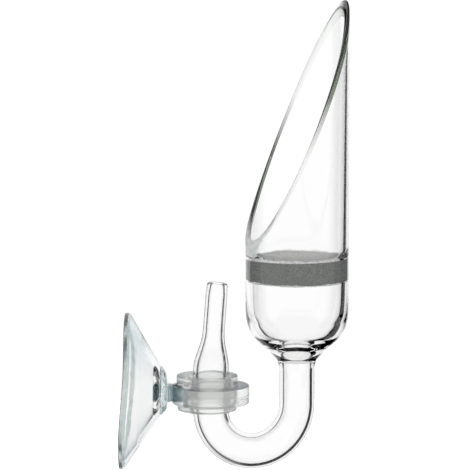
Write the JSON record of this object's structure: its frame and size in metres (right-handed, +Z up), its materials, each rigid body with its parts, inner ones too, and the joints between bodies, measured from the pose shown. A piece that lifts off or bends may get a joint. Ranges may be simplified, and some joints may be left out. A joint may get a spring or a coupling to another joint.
{
  "type": "carbon dioxide diffuser",
  "caption": "Aquarium gas diffuser: a bent glass tube feeds a bowl with a porous disc under a slanted glass shroud, held by a suction cup with a ring.",
  "frame": {"origin": "centre of the suction cup's sealing face, which lies on the aquarium pane", "axes": "+X from the pane into the tank along the suction cup's axis, +Z up along the glass stem, +Y completes a right-handed frame and points the way the bowl is swung"},
  "size_m": [0.0501, 0.0354, 0.1055],
  "materials": {
    "glass": "polished clear borosilicate glass",
    "ceramic": "matte, porous, unglazed",
    "seal": "cloudy sealing glass",
    "clear_vinyl": "smooth clear soft vinyl with a blue-green tint",
    "milky_vinyl": "satin milky soft vinyl"
  },
  "bodies": {
    "cup": {"suction_skirt": "clear_vinyl"},
    "holder": {"holder_ring": "clear_vinyl"},
    "grommet": {"grip_grommet": "milky_vinyl"},
    "glass": {"inlet_stem": "glass", "gas_bowl": "glass", "bubble_shroud": "glass", "ceramic_disc": "ceramic", "disc_seal": "seal"}
  },
  "joints": [
    {"name": "press", "type": "slide", "parent": "cup", "child": "holder", "axis": [-1, 0, 0], "range_m": [0, 0.005], "stiffness_N_per_m": 1500, "deforming": ["suction_skirt"]},
    {"name": "swivel", "type": "hinge", "parent": "holder", "child": "grommet", "pos_m": [0.0193, 0, 0], "axis": [0, 0, 1], "range_deg": [-108.5, 71.5]},
    {"name": "stem_slide", "type": "slide", "parent": "grommet", "child": "glass", "axis": [0, 0, -1], "range_m": [0, 0.029]}
  ]
}
